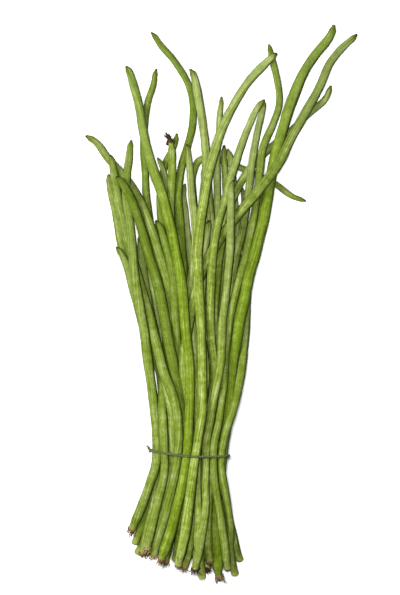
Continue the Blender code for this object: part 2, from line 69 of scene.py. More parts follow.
camera = bpy.data.objects.new("camera", bpy.data.cameras.new("camera"))
bpy.context.scene.collection.objects.link(camera)
camera.data.sensor_fit = "VERTICAL"
camera.data.sensor_height = SENSOR_HEIGHT
camera.data.lens = SENSOR_HEIGHT * (CAMERA_HEIGHT - SCALE_HEIGHT) / (PICTURE[1] * MM_PER_PIXEL / 1000)
camera.location = (
    (PICTURE[0] / 2 - BUNCH_IN_PICTURE[0]) * MM_PER_PIXEL / 1000,
    (BUNCH_IN_PICTURE[1] - PICTURE[1] / 2) * MM_PER_PIXEL / 1000,
    CAMERA_HEIGHT,
)
bpy.context.scene.camera = camera
bpy.context.scene.view_settings.view_transform = "Standard"


# The light
# Two soft lights: one almost over the bunch, which keeps the table white all round it, and one from the
# left and the tips, which lights each pod's left flank and leaves its right flank dark.

STUDIO_WHITE = (1.0, 1.0, 1.0, 1.0)
STUDIO_STRENGTH = 0.09

world = bpy.data.worlds.new("studio")
bpy.context.scene.world = world
world.use_nodes = True
world.node_tree.nodes["Background"].inputs["Color"].default_value = STUDIO_WHITE
world.node_tree.nodes["Background"].inputs["Strength"].default_value = STUDIO_STRENGTH


def soft_light(name, place, size, watts):
    """A square light that faces the middle of the table."""
    light = bpy.data.objects.new(name, bpy.data.lights.new(name, "AREA"))
    light.data.size = size
    light.data.energy = watts
    light.location = place
    light.rotation_euler = (Vector((0, 0, 0)) - Vector(place)).to_track_quat("-Z", "Y").to_euler()
    bpy.context.scene.collection.objects.link(light)


soft_light("top_light", place=(-0.03, 0.03, 2.0), size=0.2, watts=71.0)
soft_light("side_light", place=(-1.1, 0.35, 1.5), size=0.6, watts=73.0)


# The table
# A plain matt white studio table, wide enough to fill every view.

TABLE_SIZE = 6.0
TABLE_WHITE = (0.61, 0.61, 0.60, 1.0)
TABLE_ROUGHNESS = 0.9


def object_from(bm, name, *materials):
    """Makes the finished mesh an object at the origin with these materials."""
    mesh = bpy.data.meshes.new(name)
    bm.to_mesh(mesh)
    bm.free()
    for material in materials:
        mesh.materials.append(material)
    piece = bpy.data.objects.new(name, mesh)
    bpy.context.scene.collection.objects.link(piece)
    return piece


matt_white = bpy.data.materials.new("table_white")
matt_white.use_nodes = True
matt_white.node_tree.nodes["Principled BSDF"].inputs["Base Color"].default_value = TABLE_WHITE
matt_white.node_tree.nodes["Principled BSDF"].inputs["Roughness"].default_value = TABLE_ROUGHNESS
bm = bmesh.new()
bmesh.ops.create_grid(bm, x_segments=1, y_segments=1, size=TABLE_SIZE / 2)
table = object_from(bm, "table", matt_white)


# The pods' skin
# A waxy green skin with fine streaks along the pod, paler and deeper patches, small pale flecks, two seams,
# and a beak that has dried to olive brown, with painted shade on the side turned away from the lights. It
# follows the coordinates of the pod as if it were straight.


class Value:
    """A socket in a finish's nodes. Sums written with it add Math nodes."""

    def __init__(self, finish, socket):
        self.finish, self.socket = finish, socket

    def math(self, operation, *others):
        inputs = dict(enumerate((self, *others)))
        return self.finish.node("Math", {"operation": operation}, inputs)

    def __add__(self, other):
        return self.math("ADD", other)

    def __sub__(self, other):
        return self.math("SUBTRACT", other)

    def __rsub__(self, other):
        return self.finish.node("Math", {"operation": "SUBTRACT"}, {0: other, 1: self})

    def __mul__(self, other):
        return self.math("MULTIPLY", other)

    __radd__, __rmul__ = __add__, __mul__

    def rises(self, low, high):
        """0 up to low, 1 from high on, and smooth between them."""
        settings = {"interpolation_type": "SMOOTHSTEP"}
        return self.finish.node("MapRange", settings, {0: self, 1: low, 2: high})


class Finish:
    """A material that is written as sums of its values."""

    def __init__(self, name, fixed):
        self.material = bpy.data.materials.new(name)
        self.material.use_nodes = True
        self.tree = self.material.node_tree
        self.shader = self.tree.nodes["Principled BSDF"]
        for socket, value in fixed.items():
            self.shader.inputs[socket].default_value = value

    def node(self, kind, settings, inputs, output=0):
        """Any node: its type, its settings, which are set first, and the values or links of its sockets."""
        made = self.tree.nodes.new("ShaderNode" + kind)
        for setting, value in settings.items():
            setattr(made, setting, value)
        for socket, value in inputs.items():
            if isinstance(value, Value):
                self.tree.links.new(value.socket, made.inputs[socket])
            else:
                made.inputs[socket].default_value = value
        return Value(self, made.outputs[output])

    def attribute(self, name):
        return self.node("Attribute", {"attribute_name": name}, {}, "Vector")

    def parts(self, vector):
        return [self.node("SeparateXYZ", {}, {0: vector}, axis) for axis in "XYZ"]

    def stretched(self, vector, *factors):
        return self.node("VectorMath", {"operation": "MULTIPLY"}, {0: vector, 1: factors})

    def noise(self, vector, scale, detail):
        return self.node("TexNoise", {}, {"Vector": vector, "Scale": scale, "Detail": detail}, "Fac")

    def mix(self, share, first, second):
        return self.node("Mix", {"data_type": "RGBA"}, {0: share, 6: first, 7: second}, 2)

    def scaled(self, vector, factor):
        return self.node("VectorMath", {"operation": "SCALE"}, {0: vector, "Scale": factor})

    def link(self, value, socket):
        self.tree.links.new(value.socket, self.shader.inputs[socket])

    def bump(self, height, depth, strength):
        inputs = {"Height": height, "Distance": depth, "Strength": strength}
        self.link(self.node("Bump", {}, inputs, "Normal"), "Normal")


def colour(red, green, blue):
    """A colour as a screen shows it, 0 to 255, as the shader wants it."""
    return (*(((c / 255 + 0.055) / 1.055) ** 2.4 for c in (red, green, blue)), 1.0)


# The patterns of the skin: how much each is squeezed across and along the pod, its scale and its detail
STREAKS = ((1.0, 1.0, 0.03), 900.0, 3.0)
BANDS = ((1.0, 1.0, 0.07), 430.0, 2.0)
PATCHES = ((0.7, 0.7, 1.0), 42.0, 2.0)
MOTTLE = ((1.0, 1.0, 0.7), 420.0, 3.0)
RIPPLES = ((0.35, 0.35, 1.0), 150.0, 2.0)
FLECKS = ((1.0, 1.0, 0.5), 1300.0, 1.0)
SCARS = ((1.0, 1.0, 0.35), 170.0, 4.0)

# Each mark on the skin: its colour, how strongly it shows, and from where to where it comes or goes. Places
# are metres along or across the pod; a tone is how pale the whole pod is.
DEEP_TO_MIDDLE = (0.36, 0.50)
MIDDLE_TO_LIGHT = (0.48, 0.64)
OLD_GREEN, OLD_SHARE, OLD_TIP, OLD_TONES = colour(98, 106, 70), 0.4, (0.03, 0.20), (0.24, 0.46)
MIDDLE_TONE = 0.5
# Darker pods are mixed towards this green: partly their own deeper tone, partly painted shade of pods lying
# deep in the bunch
DEEP_TONE_AND_SHADE_GREEN, DEEP_TONE_AND_SHADE_SHARE = colour(52, 69, 0), 2.7
PALE_SHARE = 2.2
LIGHT_FLECK, FLECK_SHARE = colour(139, 144, 88), 0.45
OLIVE_SCAR, SCAR_SHARE = colour(76, 76, 27), 0.6
SPECK_EDGE = (0.66, 0.74)
SEAM_GREEN, SEAM_SHARE = colour(55, 70, 7), 0.6
SEAM_HALF_WIDTH, SEAM_OFF_AXIS = (0.0002, 0.0008), (0.001, 0.003)
# Painted shade: the side of each pod turned away from the lights is painted deep green, fading towards the
# lit side
PAINTED_SHADE_GREEN, PAINTED_SHADE_SHARE, PAINTED_SHADE_FADE, PAINTED_SHADE_RAGGED = colour(29, 46, 0), 0.94, (-0.02, 0.62), 0.5
NECK_GREEN, NECK_SHARE, NECK_END, NECK_RAGGED = colour(121, 121, 63), 0.45, (0.006, 0.016), 0.006
BEAK_OLIVE, BEAK_SHARE, BEAK_START, BEAK_RAGGED = colour(60, 66, 12), 0.85, (0.001, 0.014), 0.034
POINT_BROWN, POINT_START, POINT_RAGGED = colour(33, 32, 10), (0.0006, 0.0034), 0.008
SKIN_SPECULAR = 0.03
SKIN_ROUGHNESS, STREAK_ROUGHNESS, BEAK_ROUGHNESS, ROUGH_BEAK = 0.48, 0.2, 0.2, (0.002, 0.010)
SKIN_RELIEF, RELIEF_STRENGTH = 0.0010, 0.6


def skin(name, deep, middle, light):
    """The skin of a pod between these three greens; grown is the place on the straight pod, in metres."""
    finish = Finish(name, {"Specular IOR Level": SKIN_SPECULAR})
    grown = finish.attribute("grown")
    to_tip, to_stalk, tone = finish.parts(finish.attribute("ends"))
    across, around, _ = finish.parts(grown)
    # how much each point of the skin faces the lights, for the painted shade on the far side
    back, _, _ = finish.parts(finish.attribute("back"))
    streaks, bands, patches, mottle, ripples, flecks, scars = (
        finish.noise(finish.stretched(grown, *squeeze), scale, detail)
        for squeeze, scale, detail in (STREAKS, BANDS, PATCHES, MOTTLE, RIPPLES, FLECKS, SCARS)
    )

    shade = streaks * 0.37 + bands * 0.10 + mottle * 0.20 + ripples * 0.19 + patches * 0.14
    green = finish.mix(shade.rises(*DEEP_TO_MIDDLE), deep, middle)
    green = finish.mix(shade.rises(*MIDDLE_TO_LIGHT), green, light)
    old = (1.0 - to_tip.rises(*OLD_TIP)) * tone.rises(*OLD_TONES)
    green = finish.mix(old * OLD_SHARE, green, OLD_GREEN)
    # Darker pods: partly their own deeper tone, partly painted shade of pods lying deep in the bunch
    green = finish.mix((MIDDLE_TONE - tone) * DEEP_TONE_AND_SHADE_SHARE, green, DEEP_TONE_AND_SHADE_GREEN)
    green = finish.scaled(green, 1.0 + (tone - MIDDLE_TONE).math("MAXIMUM", 0.0) * PALE_SHARE)
    green = finish.mix(flecks.rises(*SPECK_EDGE) * FLECK_SHARE, green, LIGHT_FLECK)
    green = finish.mix(scars.rises(*SPECK_EDGE) * SCAR_SHARE, green, OLIVE_SCAR)

    seam = 1.0 - around.math("ABSOLUTE").rises(*SEAM_HALF_WIDTH)
    seam = seam * across.math("ABSOLUTE").rises(*SEAM_OFF_AXIS)
    green = finish.mix(seam * SEAM_SHARE, green, SEAM_GREEN)
    # Painted shade on the side of the pod turned away from the lights, with a ragged edge
    painted_shade = 1.0 - (back + (bands - 0.5) * PAINTED_SHADE_RAGGED).rises(*PAINTED_SHADE_FADE)
    green = finish.mix(painted_shade * PAINTED_SHADE_SHARE, green, PAINTED_SHADE_GREEN)

    neck = 1.0 - (to_stalk + patches * NECK_RAGGED).rises(*NECK_END)
    green = finish.mix(neck * NECK_SHARE, green, NECK_GREEN)
    beak = 1.0 - (to_tip + (streaks - 0.5) * BEAK_RAGGED).rises(*BEAK_START)
    green = finish.mix(beak * BEAK_SHARE, green, BEAK_OLIVE)
    point = 1.0 - (to_tip + (streaks - 0.5) * POINT_RAGGED).rises(*POINT_START)
    green = finish.mix(point, green, POINT_BROWN)

    finish.link(green, "Base Color")
    rough_beak = (1.0 - to_tip.rises(*ROUGH_BEAK)) * BEAK_ROUGHNESS
    finish.link(SKIN_ROUGHNESS + streaks * STREAK_ROUGHNESS + rough_beak, "Roughness")
    relief = streaks * 0.35 + bands * 0.35 + mottle * 0.5 + ripples * 0.8
    finish.bump(relief, SKIN_RELIEF, RELIEF_STRENGTH)
    return finish.material


SKINS = {
    "pod_pale": skin("skin_pale", colour(43, 57, 0), colour(90, 102, 36), colour(132, 140, 93)),
    "pod_leaf": skin("skin_leaf", colour(35, 50, 0), colour(78, 91, 26), colour(119, 128, 76)),
    "pod_bright": skin("skin_bright", colour(38, 56, 0), colour(79, 95, 14), colour(113, 127, 57)),
}


# The pods
# Each pod is one long skin on the line of its solid, slightly oval, with a seam that stands up along its
# back and the swellings of its seeds. It is rolled up from a grid, one row for each ring.

POD_SIDES = 16
RING_STEP = 0.0024
END_STEP = 0.0007  # between the rings of the neck and the beak
CAD_WELD, SKIN_WELD = 1e-6, 1e-7  # points closer than this are one
CAP_REACH = 0.0026  # wider than the end ring of a solid, and less than the way to the next ring
STUB_RINGS, BEAK_RINGS = 4, 3  # the rings of a solid's stub, calyx and neck, and of its beak
NECK_WIDER, NECK_LIMIT = 1.16, 0.97  # shares of the solid's neck, and of the body that it may not pass
BODY_START = 0.0033  # where the skin comes out of the calyx, and
BARE_START = 0.0004  # where it begins if the calyx has gone
START_ROUND, START_LEAST = 0.0024, 0.03  # how far from there it is rounded, and how little it begins with
NECK_REACH = 0.015  # where the pod has its full thickness
BEAK_REACH = 0.014  # the length of the beak
BEAK, BEAK_RISE = 0.38, (0.0010, 0.0062)  # the share of the thickness at its point, and where it ends
BEAK_BASE, TIP_RISE = 0.8, (0.005, 0.024)  # the share behind the point, and where the full thickness comes
POINT_ROUND, POINT_LEAST = 0.0011, 0.05
HOOK, HOOK_REACH, HOOK_RISE = 0.0022, 0.011, 0.6  # how far the beak bends to a side, and its share upwards
SEAM_RISE = 0.055
SEAM_GROOVE = -0.02
OVAL = 0.03
TOWARD_LIGHTS = np.array((-0.34, 0.14, 0.93))  # the way towards the lights; the skin turned away from it is painted in deep shade
OFF_LINE = (0.2, 0.3, 0.93)  # a heading that no pod and no part of the twine follows
# Waves along a pod, as pairs of length and height: the seeds' swellings, the sway and the twist
SEED_WAVES = ((0.0215, 0.008), (0.0157, 0.007), (0.029, 0.010), (0.053, 0.016), (0.11, 0.022))
SWAY_WAVES = ((0.043, 0.00012), (0.087, 0.00025))
TWIST_WAVES = ((0.4, 0.7), (0.9, 1.0))
# Pods that are fuller than their solids, and pods that narrow towards their stalk
FULLER = {2: 1.05, 5: 1.04, 21: 1.05, 24: 1.05, 25: 1.08, 26: 1.06, 27: 1.08, 28: 1.04, 29: 1.03, 35: 1.12}
LEAN_NECK = {5: 0.72, 18: 0.62}
BEAN_SEED = 400


def cad_rings(node):
    """The middle and radius of each ring of a pod's solid, from its stalk end to its tip."""
    bm = bmesh.new()
    bm.from_mesh(frame["nodes"][node].data)
    bmesh.ops.remove_doubles(bm, verts=bm.verts, dist=CAD_WELD)
    bm.verts.index_update()
    end = min(bm.verts, key=lambda v: v.co.y)
    ring = [v for v in bm.verts if (v.co - end.co).length < CAP_REACH]
    seen = set(ring)
    middles, radii = [], []
    while ring:  # from each ring to the next along the pod, always in the same order
        middle = sum((v.co for v in ring), Vector()) / len(ring)
        middles.append(middle)
        radii.append(sum((v.co - middle).length for v in ring) / len(ring))
        onward = {edge.other_vert(v) for v in ring for edge in v.link_edges} - seen
        seen |= onward
        ring = sorted(onward, key=lambda v: v.index)
    bm.free()
    if abs(radii[0] - radii[1]) > 0.1 * radii[1]:  # it began at the tip, which has no straight stub
        middles.reverse()
        radii.reverse()
    return np.array(middles), np.array(radii)


class Bean:
    """A bean as it grows: the rings of its solid, its own random draws, and its mesh with three layers."""

    def __init__(self, number, node):
        self.number = number
        self.middles, self.radii = cad_rings(node)
        self.rng = random.Random(BEAN_SEED + number)
        self.bm = bmesh.new()
        self.grown = self.bm.verts.layers.float_vector.new("grown")
        self.ends = self.bm.verts.layers.float_vector.new("ends")
        # how much each point faces the lights, for the painted shade on the far side
        self.back = self.bm.verts.layers.float_vector.new("back")


def distances(points):
    """How far along their line each of these points is."""
    return np.concatenate(([0.0], np.cumsum(np.linalg.norm(np.diff(points, axis=0), axis=1))))


def smooth_line(points, places):
    """A smooth curve through points, read at distances along them."""
    along = distances(points)
    slope = np.gradient(points, along, axis=0)
    k = np.clip(np.searchsorted(along, places, "right") - 1, 0, len(points) - 2)
    step = (along[k + 1] - along[k])[:, None]
    t = ((places - along[k])[:, None]) / step
    start = (2 * t**3 - 3 * t**2 + 1) * points[k] + (t**3 - 2 * t**2 + t) * step * slope[k]
    return start + (3 * t**2 - 2 * t**3) * points[k + 1] + (t**3 - t**2) * step * slope[k + 1]


def waves(rng, along, sizes):
    """A sum of waves of these lengths and heights, each begun at a place drawn from rng."""
    return sum(height * np.sin(math.tau * (along / length + rng.random())) for length, height in sizes)


def eased(value, low, high):
    """0 up to low, 1 from high on, and smooth between them."""
    share = np.clip((value - low) / (high - low), 0.0, 1.0)
    return share * share * (3 - 2 * share)


def rounded(distance, reach, least):
    """The share of the radius at a distance from a rounded end."""
    return np.sqrt(np.maximum(1 - (1 - np.clip(distance / reach, 0.0, 1.0)) ** 2, least))


def corners(sides):
    """The angles of the corners of a ring."""
    return np.arange(sides) * math.tau / sides


def ring_frames(line):
    """At each point of a line, two ways across it that never spin round it."""
    way = np.gradient(line, axis=0)
    way /= np.linalg.norm(way, axis=1)[:, None]
    side = np.cross(way, OFF_LINE)
    for k, heading in enumerate(way):
        across = side[max(k - 1, 0)]
        across = across - heading * (across @ heading)
        side[k] = across / np.linalg.norm(across)
    return side, np.cross(way, side)


def spokes(angle, side, up):
    """The ways out of a line at these angles round it."""
    return np.cos(angle)[..., None] * side[:, None] + np.sin(angle)[..., None] * up[:, None]


def as_if_straight(reach, corner, along):
    """Where the points of a tube would lie if its line were straight."""
    across, around = reach * np.cos(corner), reach * np.sin(corner)
    return np.stack(np.broadcast_arrays(across, around, along[:, None]), axis=2)


def rolled(bm, places, layers, material_index=0):
    """Rolls a grid up into a closed tube through rings of places, and gives its points their layers."""
    rings, sides = places.shape[:2]
    old = set(bm.verts)
    made = bmesh.ops.create_grid(bm, x_segments=sides, y_segments=rings - 1, size=0.5)["verts"]
    for vertex in made:
        k = round((vertex.co.x + 0.5) * sides) % sides
        j = round((vertex.co.y + 0.5) * (rings - 1))
        vertex.co = places[j, k]
        for layer, values in layers:
            vertex[layer] = values[j, k]
    bmesh.ops.remove_doubles(bm, verts=made, dist=SKIN_WELD)
    new = [v for v in bm.verts if v not in old]
    rims = [e for v in new for e in v.link_edges if e.is_boundary]
    bmesh.ops.holes_fill(bm, edges=list(dict.fromkeys(rims)), sides=sides)
    faces = list(dict.fromkeys(f for v in new for f in v.link_faces))
    bmesh.ops.recalc_face_normals(bm, faces=faces)
    for face in faces:
        face.smooth = True
        face.material_index = material_index


def pod_radius(rng, along, solid_along, solid_radii):
    """The pod's radius: round where it leaves the calyx, seeded along its body, and blunt at its beak."""
    full = np.interp(along, solid_along, solid_radii)
    radius = full * (1.0 + waves(rng, along, SEED_WAVES))
    to_tip = along[-1] - along
    point, base = eased(to_tip, *BEAK_RISE), eased(to_tip, *TIP_RISE)
    radius *= BEAK + (BEAK_BASE - BEAK) * point + (1.0 - BEAK_BASE) * base
    radius *= rounded(to_tip, POINT_ROUND, POINT_LEAST)
    return radius * rounded(along - along[0], START_ROUND, START_LEAST)


def grow_pod(bean, start, tone):
    """Adds the skin of the pod along the middles of its solid's rings."""
    rng, middles = bean.rng, bean.middles
    solid_along = distances(middles)
    total = solid_along[-1]
    # The pod has its own stub, neck and beak, so there the solid's radii give way to the body's
    thickness = bean.radii.copy()
    neck = min(thickness[STUB_RINGS - 1] * NECK_WIDER, thickness[STUB_RINGS + 1] * NECK_LIMIT)
    thickness[:STUB_RINGS] = neck * LEAN_NECK.get(bean.number, 1.0)
    thickness *= FULLER.get(bean.number, 1.0)
    thickness[-BEAK_RINGS:] = thickness[-BEAK_RINGS - 1]
    along = np.concatenate((
        np.arange(start, NECK_REACH, END_STEP),
        np.arange(NECK_REACH, total - BEAK_REACH, RING_STEP),
        np.arange(total - BEAK_REACH, total - END_STEP / 2, END_STEP),
        [total],
    ))
    last = len(middles) - 1
    key = middles[np.r_[0, STUB_RINGS : last - 1, last]]
    line = smooth_line(key, along * distances(key)[-1] / total)
    radius = pod_radius(rng, along, solid_along, thickness)

    side, up = ring_frames(line)
    sway = waves(rng, along, SWAY_WAVES)
    hook = HOOK * np.clip(1 - (total - along) / HOOK_REACH, 0.0, 1.0) ** 2
    sideways = sway + rng.uniform(-1, 1) * hook
    upwards = rng.uniform(-HOOK_RISE, HOOK_RISE) * hook
    line = line + side * sideways[:, None] + up * upwards[:, None]
    turn = rng.random() * math.tau + waves(rng, along, TWIST_WAVES)

    corner = corners(POD_SIDES)
    shape = 1 + OVAL * np.cos(2 * corner)
    shape[0] += SEAM_RISE
    shape[[1, -1]] += SEAM_GROOVE
    shape[POD_SIDES // 2] += SEAM_RISE / 2
    reach = radius[:, None] * shape
    out = spokes(turn[:, None] + corner, side, up)
    places = line[:, None] + reach[..., None] * out
    places[..., 2] = np.maximum(places[..., 2], 0.0)

    straight = as_if_straight(reach, corner, along + bean.number)
    far = np.broadcast_arrays(total - along[:, None], along[:, None], np.full(reach.shape, tone))
    # how much each point faces the lights, which the skin uses for its painted shade
    back = np.repeat((out @ TOWARD_LIGHTS)[..., None], 3, axis=2)
    rolled(bean.bm, places, ((bean.grown, straight), (bean.ends, np.stack(far, axis=2)), (bean.back, back)))


# The calyxes
# The flower's calyx has stayed on each pod's stalk end and dried to brown paper round the broken stalk.
# On some pods it has been rubbed off, which leaves a rounded end.

DRY_DARK = colour(40, 29, 19)
DRY_BROWN = colour(88, 68, 43)
DRY_TAN = colour(139, 126, 86)
DRYNESS = {"dark": 0.3, "brown": 0.5, "tan": 0.64}
DARK_TO_BROWN = (0.30, 0.52)
BROWN_TO_TAN = (0.50, 0.72)
DRY_ROUGHNESS, DRY_SPECULAR = 0.85, 0.08
FIBRE_SQUEEZE, FIBRE_GRAIN = (1.0, 1.0, 0.15), (1900.0, 3.0)  # a grain is its scale and its detail
SHADE_GRAIN = (420.0, 2.0)
FIBRE_RELIEF, FIBRE_STRENGTH = 0.0006, 0.8

# The stub: its sides, its rings as places from the end and radii, its ridges and how ragged it broke off
STUB_SIDES = 10
STUB = ((0.0, 0.0010), (0.0007, 0.0012), (0.0016, 0.0011), (0.0026, 0.0013), (0.0036, 0.0017))
STUB_RIDGES, STUB_RIDGE = 3, 0.12
STUB_BREAK = (-0.0006, 0.0005)
STUB_DARKER = 0.1

# The cup of the calyx: its sepals are lobes of different lengths, which flare a little at their ends
SEPALS = 5
LOBE_BLUNT = 0.7
CALYX_SIDES = 20
CALYX_RINGS = 7
CALYX_WALL = 0.00025
CALYX_BASE, CALYX_NARROW, CALYX_WIDER = 0.0016, 0.0014, 1.12
CALYX_OPENS, CALYX_BELL = 2.6, 0.6
CUP_LENGTH, LOBE_LENGTH, LOBE_RAGGED = 0.0018, (0.0024, 0.0050), (-0.0009, 0.0012)
FLARE, FLARES = 0.0016, (-0.1, 0.9)
CALYX_CREASE = (-0.14, 0.10)

# The torn sepals in it: how many, where they begin, how they stand and how large and dark they are
SHREDS = (12, 17)
SHRED_PLACE = (-0.0006, 0.0030)
SHRED_INWARD = (0.35, 1.0)
SHRED_OUT, SHRED_ON = (0.0, 1.0), (0.3, 1.0)
SHRED_LENGTH, SHRED_HALF_WIDTH, SHRED_THICKNESS = (0.0022, 0.0052), (0.0003, 0.0008), 0.00016
SHRED_SHADE = (-0.18, 0.10)
SHRED_BENDS, SHRED_SIDES, SHRED_TAPER = 7, 6, 0.3
WANDER = 0.35
# Calyxes with longer sepals, some of which are folded back over the pod, and one that closed to a point
LONG_CALYX = {1: 1.4, 3: 1.3, 5: 1.6, 18: 2.0, 20: 1.4, 24: 1.4, 25: 1.5}
FOLDED_SHARE, FOLDED_BACK, FOLDED_OUT = 0.4, 0.006, 1.05
GATHERED = {18: 0.4}
GATHERED_LEAN = Vector((-0.28, 0.0, 0.0))
# Loose threads of the stalk
THREADS = (0, 1, 1, 2)
THREAD_LENGTH, THREAD_RADIUS, THREAD_DARKER = (0.005, 0.010), 0.0002, 0.15

dry = Finish("calyx_dry", {"Roughness": DRY_ROUGHNESS, "Specular IOR Level": DRY_SPECULAR})
grown = dry.attribute("grown")
fibres = dry.noise(dry.stretched(grown, *FIBRE_SQUEEZE), *FIBRE_GRAIN)
shades = dry.noise(grown, *SHADE_GRAIN)
_, _, dryness = dry.parts(dry.attribute("ends"))
brown = dry.mix((fibres * 0.5 + shades * 0.5 + dryness - 0.5).rises(*DARK_TO_BROWN), DRY_DARK, DRY_BROWN)
brown = dry.mix((fibres * 0.6 + shades * 0.4 + dryness - 0.5).rises(*BROWN_TO_TAN), brown, DRY_TAN)
dry.link(brown, "Base Color")
dry.bump(fibres, FIBRE_RELIEF, FIBRE_STRENGTH)


def rolled_dry(bean, places, dryness):
    """Adds a dried piece; its pattern is shifted for each bean, and dryness is how pale it has dried."""
    tone = np.zeros(places.shape)
    tone[..., 2] = dryness
    own = places + np.array((0.0, 0.0, bean.number))
    rolled(bean.bm, places, ((bean.grown, own), (bean.ends, tone)), 1)


def stalk_stub(bean, start, way, dryness):
    """Adds the broken stub of the stalk."""
    line = np.array([start + way * along for along, _ in STUB])
    corner = corners(STUB_SIDES)
    thick = np.array([radius for _, radius in STUB])
    reach = thick[:, None] * (1 + STUB_RIDGE * np.sin(STUB_RIDGES * corner + bean.number))
    places = line[:, None] + reach[..., None] * spokes(corner, *ring_frames(line))
    broken = np.array([bean.rng.uniform(*STUB_BREAK) for _ in corner])
    places[0] += broken[:, None] * np.array(way)
    rolled_dry(bean, places, dryness - STUB_DARKER)


def calyx_cup(bean, base, way, rim, out, dryness):
    """Adds the cup of the calyx with its ragged lobes; out are the ways out of its middle."""
    rng = bean.rng
    steps = np.linspace(0.0, 1.0, CALYX_RINGS)
    corner = corners(CALYX_SIDES)
    lobe = np.abs(np.cos(corner * SEPALS / 2 + rng.random() * 3)) ** LOBE_BLUNT
    length = CUP_LENGTH + lobe * rng.uniform(*LOBE_LENGTH)
    length = length + np.array([rng.uniform(*LOBE_RAGGED) for _ in corner])
    flare = np.array([rng.uniform(*FLARES) for _ in corner])
    spread = CALYX_NARROW + (rim - CALYX_NARROW) * np.minimum(steps * CALYX_OPENS, 1.0) ** CALYX_BELL
    outer = spread[:, None] + (steps[:, None] ** 3) * flare * FLARE
    outer *= 1 + np.array([rng.uniform(*CALYX_CREASE) for _ in corner])
    onward = steps[:, None] * length
    reach = np.vstack((outer, outer[::-1] - CALYX_WALL))
    onward = np.vstack((onward, onward[::-1]))
    places = np.array(base) + onward[..., None] * np.array(way) + reach[..., None] * out
    on_table = np.repeat((0.0, CALYX_WALL), CALYX_RINGS)[:, None]
    places[..., 2] = np.maximum(places[..., 2], on_table)
    rolled_dry(bean, places, dryness)


def shred(bean, start, way, size, dryness, wander=WANDER):
    """Adds a dry shred or thread of this length, half width and half thickness, bent here and there."""
    length, width, thickness = size
    line = [Vector((start[0], start[1], max(start[2], thickness)))]
    heading = Vector(way).normalized()
    for _ in range(SHRED_BENDS):
        bend = Vector([bean.rng.uniform(-wander, wander) for _ in range(3)])
        heading = (heading + bend).normalized()
        step = line[-1] + heading * length / SHRED_BENDS
        step.z = max(step.z, thickness)
        line.append(step)
    line = np.array(line)
    side, up = ring_frames(line)
    taper = np.linspace(1.0, SHRED_TAPER, len(line))[:, None, None]
    places = line[:, None] + taper * spokes(corners(SHRED_SIDES), width * side, thickness * up)
    places[..., 2] = np.maximum(places[..., 2], 0.0)
    rolled_dry(bean, places, dryness)


def dry_calyx(bean, dryness):
    """Adds the stub of the stalk, the ragged calyx round the pod's end, and loose threads."""
    rng, number, middles = bean.rng, bean.number, bean.middles
    longer = LONG_CALYX.get(number, 1.0)
    start, way = Vector(middles[0]), Vector(middles[3] - middles[0]).normalized()
    base = start + way * CALYX_BASE
    rim = bean.radii[3] * CALYX_WIDER
    side, up = ring_frames(np.array([base, base + way * 0.001]))
    stalk_stub(bean, start, way, dryness)
    calyx_cup(bean, base, way, rim, spokes(corners(CALYX_SIDES), side[:1], up[:1]), dryness)

    for _ in range(round(rng.randint(*SHREDS) * longer)):
        turn = rng.random() * math.tau
        out = Vector(math.cos(turn) * side[0] + math.sin(turn) * up[0])
        folded = longer > 1.0 and number not in GATHERED and rng.random() < FOLDED_SHARE
        onward, inward = rng.uniform(*SHRED_PLACE), rng.uniform(*SHRED_INWARD)
        width = GATHERED.get(number, 1.0)
        if folded:
            onward, inward, width = onward + FOLDED_BACK * (longer - 1), 1.0, FOLDED_OUT
        origin = base + way * onward + out * rim * inward * width
        heading = out * rng.uniform(*SHRED_OUT) / longer**2 - way * rng.uniform(*SHRED_ON)
        if number in GATHERED:
            heading += GATHERED_LEAN
        size = rng.uniform(*SHRED_LENGTH) * longer, rng.uniform(*SHRED_HALF_WIDTH), SHRED_THICKNESS
        shred(bean, origin, heading, size, dryness + rng.uniform(*SHRED_SHADE), WANDER / longer)
    for _ in range(rng.choice(THREADS)):
        size = rng.uniform(*THREAD_LENGTH), THREAD_RADIUS, THREAD_RADIUS
        shred(bean, middles[1], middles[0] - middles[3], size, dryness - THREAD_DARKER)


# The beans
# 38 beans, each one piece from the stub of its stalk to its beak, in the order of the solids. The calyx of
# each is dark, brown or tan, or it has gone, and each pod has its own paleness, in steps from the middle.
# The paleness is partly the pod's own tone and partly painted light and shade from how deep the pod lies
# in the bunch.

STALK_ENDS = (
    "brown", "gone", "dark", "gone", "brown", "gone", "gone", "brown", "brown", "gone",
    "dark", "dark", "brown", "tan", "gone", "brown", "brown", "dark", "tan", "brown",
    "gone", "gone", "gone", "brown", "brown", "tan", "dark", "tan", "brown", "gone",
    "tan", "dark", "brown", "gone", "tan", "brown", "tan", "brown",
)
# Partly each pod's own tone, partly painted light and shade from how deep it lies in the bunch
PALENESS = (
    -2, 2, -2, -1, -3, -4, -4, 0, 1, 0, 0, -4, 2, 1, 0, -4, -5, -3, 0, -6,
    -6, -5, -3, -6, -4, -4, -3, -4, -3, 1, 2, 6, -2, -1, 2, -1, 0, -2,
)
PALENESS_STEP = 0.04

slots = {entry["node"]: entry["material_slot"] for entry in frame["record"]["subparts"]}
beans = []
for number, (stalk_end, paleness) in enumerate(zip(STALK_ENDS, PALENESS), 1):
    node = f"pod_{number:02d}"
    bean = Bean(number, node)
    beans.append(bean)
    start = BARE_START if stalk_end == "gone" else BODY_START
    grow_pod(bean, start, MIDDLE_TONE + PALENESS_STEP * paleness)
    if stalk_end != "gone":
        dry_calyx(bean, DRYNESS[stalk_end])
    piece = object_from(bean.bm, f"bean_{number:02d}", SKINS[slots[node]], dry.material)
    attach(piece, "root")
    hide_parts(node)


# The twine
# A thin two-ply twine of grey-green plant fibre, drawn tight over the outermost pods and knotted on the
# left, with its two cut ends left short.

